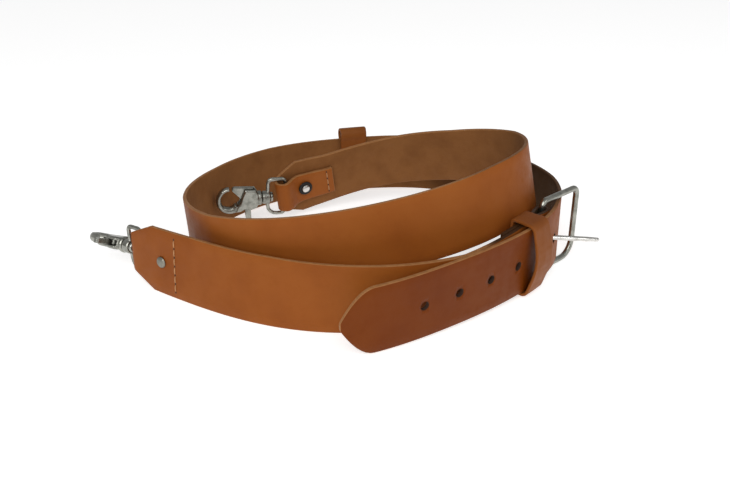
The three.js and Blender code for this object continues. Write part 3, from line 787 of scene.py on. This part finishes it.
def stitch_row(name, path, along, half, depth, sign):
    """Stitches in a row across the strap, standing a little proud of its face."""
    count = round(2 * half / STITCH["pitch"])
    bulge = Vector(path.inward_at(along)) * (sign * STITCH["bulge"] * MM)
    parts = []
    for k in range(count):
        low = MID - half + 2 * half * (k + 0.5) / count - STITCH["length"] / 2
        start = in_frame(path.place(along, depth, low))
        stop = in_frame(path.place(along, depth, low + STITCH["length"]))
        parts.append(lozenge(start, stop, STITCH["radius"] * MM, bulge))
    return gathered(name, parts, thread)


def prick_holes(name, path, along, half, depth, sign):
    """The small holes between the stitches of a row, as flat spots on the face, painted near black for the
    shade inside them.
    """
    count = round(2 * half / STITCH["pitch"])
    inward = Vector(path.inward_at(along))
    bulge = inward * (sign * PRICK["bulge"] * MM)
    parts = []
    for k in range(count + 1):
        height = MID - half + 2 * half * k / count
        centre = in_frame(path.place(along, depth, height))
        low = in_frame(path.place(along, depth, height - PRICK["half_length"]))
        high = in_frame(path.place(along, depth, height + PRICK["half_length"]))
        points, quads = lozenge(low, high, PRICK["radius"] * MM, bulge)
        points = [p - inward * (PRICK["flattened"] * (p - centre).dot(inward)) for p in points]
        parts.append((points, quads))
    return gathered(name, parts, shaded_hole_leather)


# ------------------------------------------------------------------ softened copies of CAD solids
def softened(name, node, voxel, rounds, material):
    """A copy of a CAD solid with its facets and sharp edges worn smooth."""
    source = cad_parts[node]
    piece = bpy.data.objects.new(name, source.data.copy())
    bpy.context.scene.collection.objects.link(piece)
    piece.matrix_world = source.matrix_world
    piece.data.materials.clear()
    piece.data.materials.append(material)
    remesh = piece.modifiers.new("remesh", "REMESH")
    remesh.mode = "VOXEL"
    remesh.voxel_size = voxel * MM
    smooth = piece.modifiers.new("smooth", "SMOOTH")
    smooth.factor = 0.5
    smooth.iterations = rounds
    apply_modifiers(piece)
    piece.data.shade_smooth()
    return piece


# ------------------------------------------------------------------ the object
ride(long_strap(), "strap", "leather", "long_strap")
ride(short_strap(), "strap", "leather", "short_strap")

# Each row: name, path, distance along it, half the row's height, depth of its face, and the way out of that
# face (1 inwards, -1 outwards).
STITCH_ROWS = [
    ("front_stitches", short_path, FRONT_ROW, 18, 0.0, -1),
    ("front_stitches_back", short_path, FRONT_ROW, 18, TAB_DEPTH, 1),
    ("heel_stitches", short_path, HEEL_ROW, 18, 0.0, -1),
    ("heel_stitches_back", short_path, HEEL_ROW, 18, TAB_DEPTH, 1),
    ("inner_stitches", long_path, INNER_ROW, 9.5, TAB_DEPTH, 1),
    ("inner_stitches_outside", long_path, INNER_ROW, 9, 0.0, -1),
]
for name, *row in STITCH_ROWS:
    ride(stitch_row(name, *row), "strap", "leather")
    ride(prick_holes(name + "_holes", *row), "strap", "leather")

# Each row: CAD solid, its body, ending of the piece's name, slot, remesh voxel, smoothing rounds, material.
SOFTENED = [
    ("buckle_keeper", "strap", "leather", "leather", 0.45, 6, keeper_leather),
    ("cord_keeper", "strap", "leather", "leather", 0.45, 8, keeper_leather),
    ("buckle_frame", "strap", "metal", "nickel", 0.30, 3, nickel),
    ("buckle_prong", "strap", "metal", "nickel", 0.26, 3, bright_nickel),
    ("front_rivet", "strap", "metal", "nickel", 0.20, 3, dull_nickel),
    ("inner_screw", "strap", "metal", "nickel", 0.20, 2, bright_nickel),
    ("cord_keeper_screw", "strap", "metal", "nickel", 0.20, 3, bright_nickel),
    ("front_eye", "front_eye", "metal", "nickel", 0.28, 5, nickel),
    ("front_hook", "front_hook", "metal", "nickel", 0.28, 5, nickel),
    ("front_trigger", "front_trigger", "metal", "nickel", 0.25, 3, nickel),
    ("inner_eye", "inner_eye", "metal", "nickel", 0.28, 5, nickel),
    ("inner_hook", "inner_hook", "metal", "nickel", 0.28, 5, nickel),
    ("inner_trigger", "inner_trigger", "metal", "nickel", 0.25, 3, nickel),
    ("inner_screw_washer", "strap", "metal", "blackened", 0.16, 2, blackened),
]
for node, body, ending, slot, voxel, rounds, material in SOFTENED:
    ride(softened(f"{node}_{ending}", node, voxel, rounds, material), body, slot, node)


# ------------------------------------------------------------------ floor, light and camera
def floor():
    n = Nodes("pale_floor")
    color = n.mix(n.noise(size=400, detail=2), *FLOOR_TONES)
    material = n.finish(color, roughness=0.85, Emission_Strength=0.60)
    corners = [(x * FLOOR_HALF, y * FLOOR_HALF, 0) for x, y in ((-1, -1), (1, -1), (1, 1), (-1, 1))]
    piece = new_object("floor", corners, [(0, 1, 2, 3)], [material], smooth=False)


def area_light(name, place, target, size, power):
    light = bpy.data.lights.new(name, "AREA")
    light.shape = "SQUARE"
    light.size = size
    light.energy = power
    lamp = bpy.data.objects.new(name, light)
    lamp.location = place
    lamp.rotation_euler = (Vector(target) - Vector(place)).to_track_quat("-Z", "Y").to_euler()
    bpy.context.scene.collection.objects.link(lamp)


def world_light(horizon, zenith):
    """A soft studio sky, with its own strength at the sides and overhead."""
    world = bpy.data.worlds.new("studio")
    world.use_nodes = True
    tree = world.node_tree
    direction = tree.nodes.new("ShaderNodeTexCoord").outputs["Generated"]
    height = tree.nodes.new("ShaderNodeSeparateXYZ")
    tree.links.new(direction, height.inputs["Vector"])
    strength = tree.nodes.new("ShaderNodeMapRange")
    strength.inputs["To Min"].default_value = horizon
    strength.inputs["To Max"].default_value = zenith
    tree.links.new(height.outputs["Z"], strength.inputs["Value"])
    background = tree.nodes["Background"]
    background.inputs["Color"].default_value = WHITE
    tree.links.new(strength.outputs["Result"], background.inputs["Strength"])
    bpy.context.scene.world = world


def camera(elevation, distance, lens, sensor):
    data = bpy.data.cameras.new("camera")
    data.lens = lens
    data.sensor_width = sensor
    piece = bpy.data.objects.new("camera", data)
    angle = math.radians(elevation)
    target = in_frame((0, 0, 0))
    eye = in_frame((0, -distance * math.cos(angle), distance * math.sin(angle)))
    piece.location = eye
    piece.rotation_euler = (target - eye).to_track_quat("-Z", "Y").to_euler()
    bpy.context.scene.collection.objects.link(piece)
    bpy.context.scene.camera = piece


floor()
world_light(**SKY)
for light_row in LIGHTS:
    area_light(*light_row)
camera(**CAMERA)
bpy.context.scene.view_settings.view_transform = "Standard"
